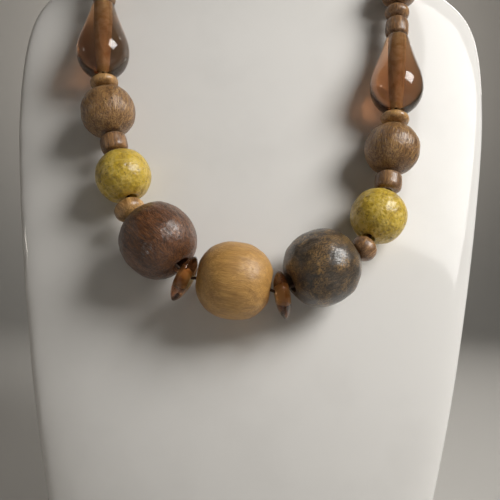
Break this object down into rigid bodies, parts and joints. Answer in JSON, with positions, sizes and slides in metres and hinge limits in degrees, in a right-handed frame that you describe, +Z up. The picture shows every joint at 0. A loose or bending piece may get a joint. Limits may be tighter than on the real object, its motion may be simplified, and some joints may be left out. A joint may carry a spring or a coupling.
{
  "type": "beaded necklace on a neck bust",
  "caption": "String of wood, stone and amber resin beads laid round a plain white neck bust with a flat foot.",
  "frame": {"origin": "middle of the bust's flat foot, on the surface that it stands on", "axes": "+Z up, the chest faces -Y, +X to the right as the necklace is looked at"},
  "size_m": [0.177, 0.1326, 0.256],
  "materials": {
    "white_plastic": "glossy moulded white plastic, slightly warm, faint scuffs",
    "cord": "twisted dark brown thread",
    "clasp_metal": "dulled brass barrel",
    "tan_wood": "light tan varnished wood, fine wavy grain",
    "pale_wood": "tan varnished wood, fine grain",
    "grained_wood": "mid brown palm wood, dark grain lines along the bead, satin varnish",
    "brown_wood": "dark reddish brown wood, pitted, glossy varnish",
    "black_wood": "black-brown wood with rubbed brown patches and small hammered flats, satin",
    "small_wood": "glossy brown varnished wood",
    "yellow_stone": "mottled yellow and olive stone, pitted, polished",
    "amber_resin": "clear amber brown resin, polished"
  },
  "bodies": {
    "root": {"neck_bust": "white_plastic", "thread": "cord", "clasp": "clasp_metal", "tan_centre_bead": "tan_wood", "amber_disc_left": "amber_resin", "dark_wood_bead_left": "brown_wood", "small_bead_low_left": "pale_wood", "yellow_stone_bead_left": "yellow_stone", "cylinder_bead_low_left": "small_wood", "grained_wood_bead_left": "grained_wood", "rondelle_bead_left": "pale_wood", "teardrop_bead_left": "amber_resin", "cylinder_bead_high_left": "small_wood", "small_bead_high_left": "small_wood", "top_wood_bead_left": "small_wood", "amber_disc_right": "amber_resin", "dark_wood_bead_right": "black_wood", "small_bead_low_right": "small_wood", "yellow_stone_bead_right": "yellow_stone", "cylinder_bead_low_right": "small_wood", "grained_wood_bead_right": "grained_wood", "rondelle_bead_right": "pale_wood", "teardrop_bead_right": "amber_resin", "cylinder_bead_high_right": "small_wood", "small_bead_high_right": "small_wood", "top_wood_bead_right": "small_wood", "hidden_bead_left_1": "small_wood", "hidden_bead_left_2": "small_wood", "hidden_bead_left_3": "small_wood", "hidden_bead_left_4": "small_wood", "hidden_bead_left_5": "small_wood", "hidden_bead_left_6": "small_wood", "hidden_bead_left_7": "small_wood", "hidden_bead_left_8": "small_wood", "hidden_bead_right_1": "small_wood", "hidden_bead_right_2": "small_wood", "hidden_bead_right_3": "small_wood", "hidden_bead_right_4": "small_wood", "hidden_bead_right_5": "small_wood", "hidden_bead_right_6": "small_wood", "hidden_bead_right_7": "small_wood", "hidden_bead_right_8": "small_wood"}
  },
  "joints": []
}
